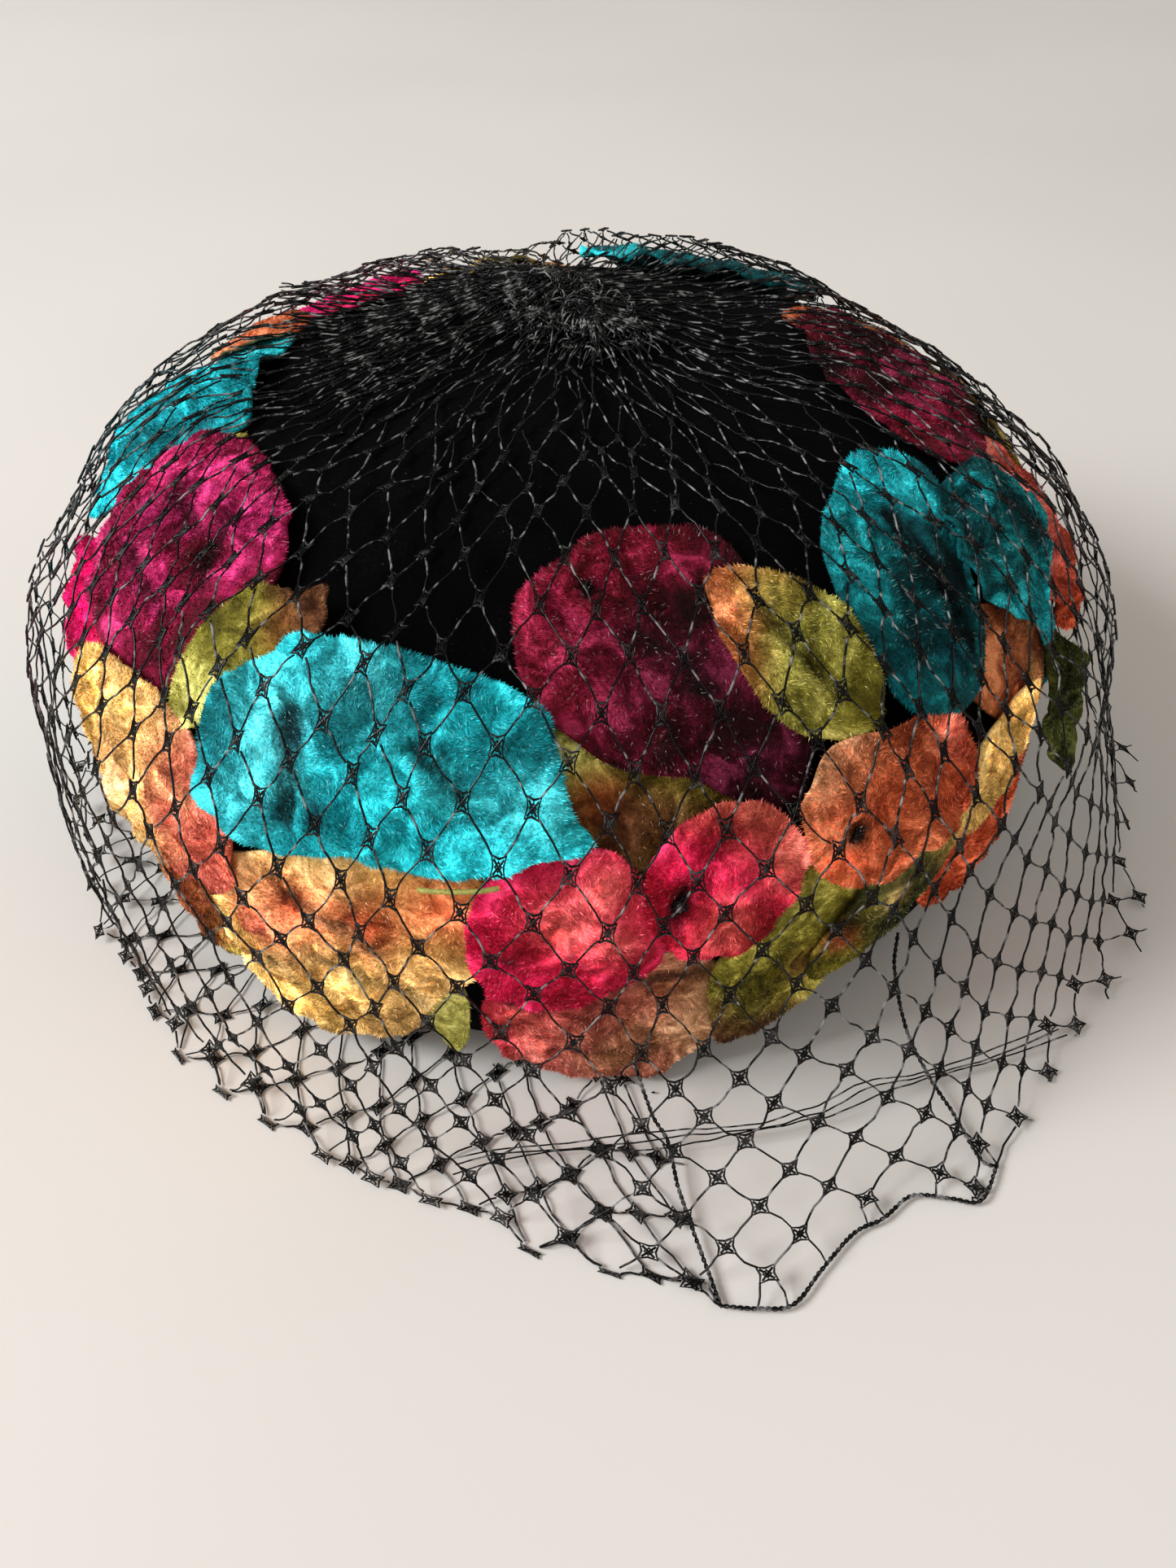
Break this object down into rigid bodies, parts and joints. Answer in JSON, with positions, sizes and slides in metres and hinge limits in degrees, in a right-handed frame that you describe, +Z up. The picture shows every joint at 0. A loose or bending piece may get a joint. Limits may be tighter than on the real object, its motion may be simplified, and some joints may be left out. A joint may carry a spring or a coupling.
{
  "type": "pillbox hat",
  "caption": "Domed pillbox hat of black velvet, covered round the sides with overlapping velvet petals and leaves, under a diamond net veil gathered on top.",
  "frame": {"origin": "centre of the crown's rim, in the plane the hat rests on", "axes": "+Z up along the crown's axis; -Y is the front, where the veil's corner lies farthest out; +X is the wearer's side seen on the right from the front"},
  "size_m": [0.22, 0.2338, 0.0902],
  "materials": {
    "black_velvet": "crushed velvet, soft short pile",
    "veil_net": "satin",
    "rose_velvet": "crushed velvet, soft short pile",
    "olive_velvet": "crushed velvet, soft short pile",
    "rust_velvet": "crushed velvet, soft short pile",
    "pink_velvet": "crushed velvet, soft short pile",
    "teal_velvet": "crushed velvet, soft short pile",
    "brown_velvet": "crushed velvet, soft short pile",
    "salmon_velvet": "crushed velvet, soft short pile",
    "orange_velvet": "crushed velvet, soft short pile",
    "gold_velvet": "crushed velvet, soft short pile",
    "dark_olive_velvet": "crushed velvet, soft short pile",
    "burgundy_velvet": "crushed velvet, soft short pile",
    "deep_teal_velvet": "crushed velvet, soft short pile",
    "magenta_velvet": "crushed velvet, soft short pile",
    "wine_velvet": "crushed velvet, soft short pile",
    "peach_velvet": "crushed velvet, soft short pile",
    "raspberry_velvet": "crushed velvet, soft short pile"
  },
  "bodies": {
    "root": {"crown": "black_velvet", "rose_tan_petal": "rose_velvet", "small_olive_leaf": "olive_velvet", "olive_rust_leaf": "rust_velvet", "pink_side_petal": "pink_velvet", "teal_back_left_petal": "teal_velvet", "olive_edge_leaf": "olive_velvet", "olive_brown_leaf": "brown_velvet", "rust_leaf": "rust_velvet", "salmon_petal": "salmon_velvet", "orange_low_petal": "orange_velvet", "gold_orange_petal": "gold_velvet", "dark_hanging_leaf": "dark_olive_velvet", "burgundy_petal": "burgundy_velvet", "deep_teal_petal": "deep_teal_velvet", "magenta_petal": "magenta_velvet", "wine_petal": "wine_velvet", "olive_gold_leaf": "olive_velvet", "gold_olive_leaf": "gold_velvet", "peach_petal": "peach_velvet", "brown_tip_leaf": "olive_velvet", "olive_right_leaf": "olive_velvet", "ribbed_leaf": "olive_velvet", "small_teal_petal": "deep_teal_velvet", "hot_pink_petal": "pink_velvet", "teal_petal": "teal_velvet", "orange_petal": "orange_velvet", "raspberry_petal": "raspberry_velvet", "pink_back_petal": "pink_velvet", "orange_back_leaf": "orange_velvet", "gold_back_petal": "gold_velvet", "teal_back_petal": "teal_velvet", "olive_back_leaf": "dark_olive_velvet", "teal_low_petal": "teal_velvet", "raspberry_low_petal": "raspberry_velvet", "gold_low_petal": "peach_velvet", "burgundy_low_petal": "burgundy_velvet", "orange_back_petal": "orange_velvet", "pink_low_petal": "pink_velvet", "olive_low_leaf": "olive_velvet", "teal_side_petal": "deep_teal_velvet", "veil_gather": "veil_net", "veil": "veil_net"}
  },
  "joints": []
}
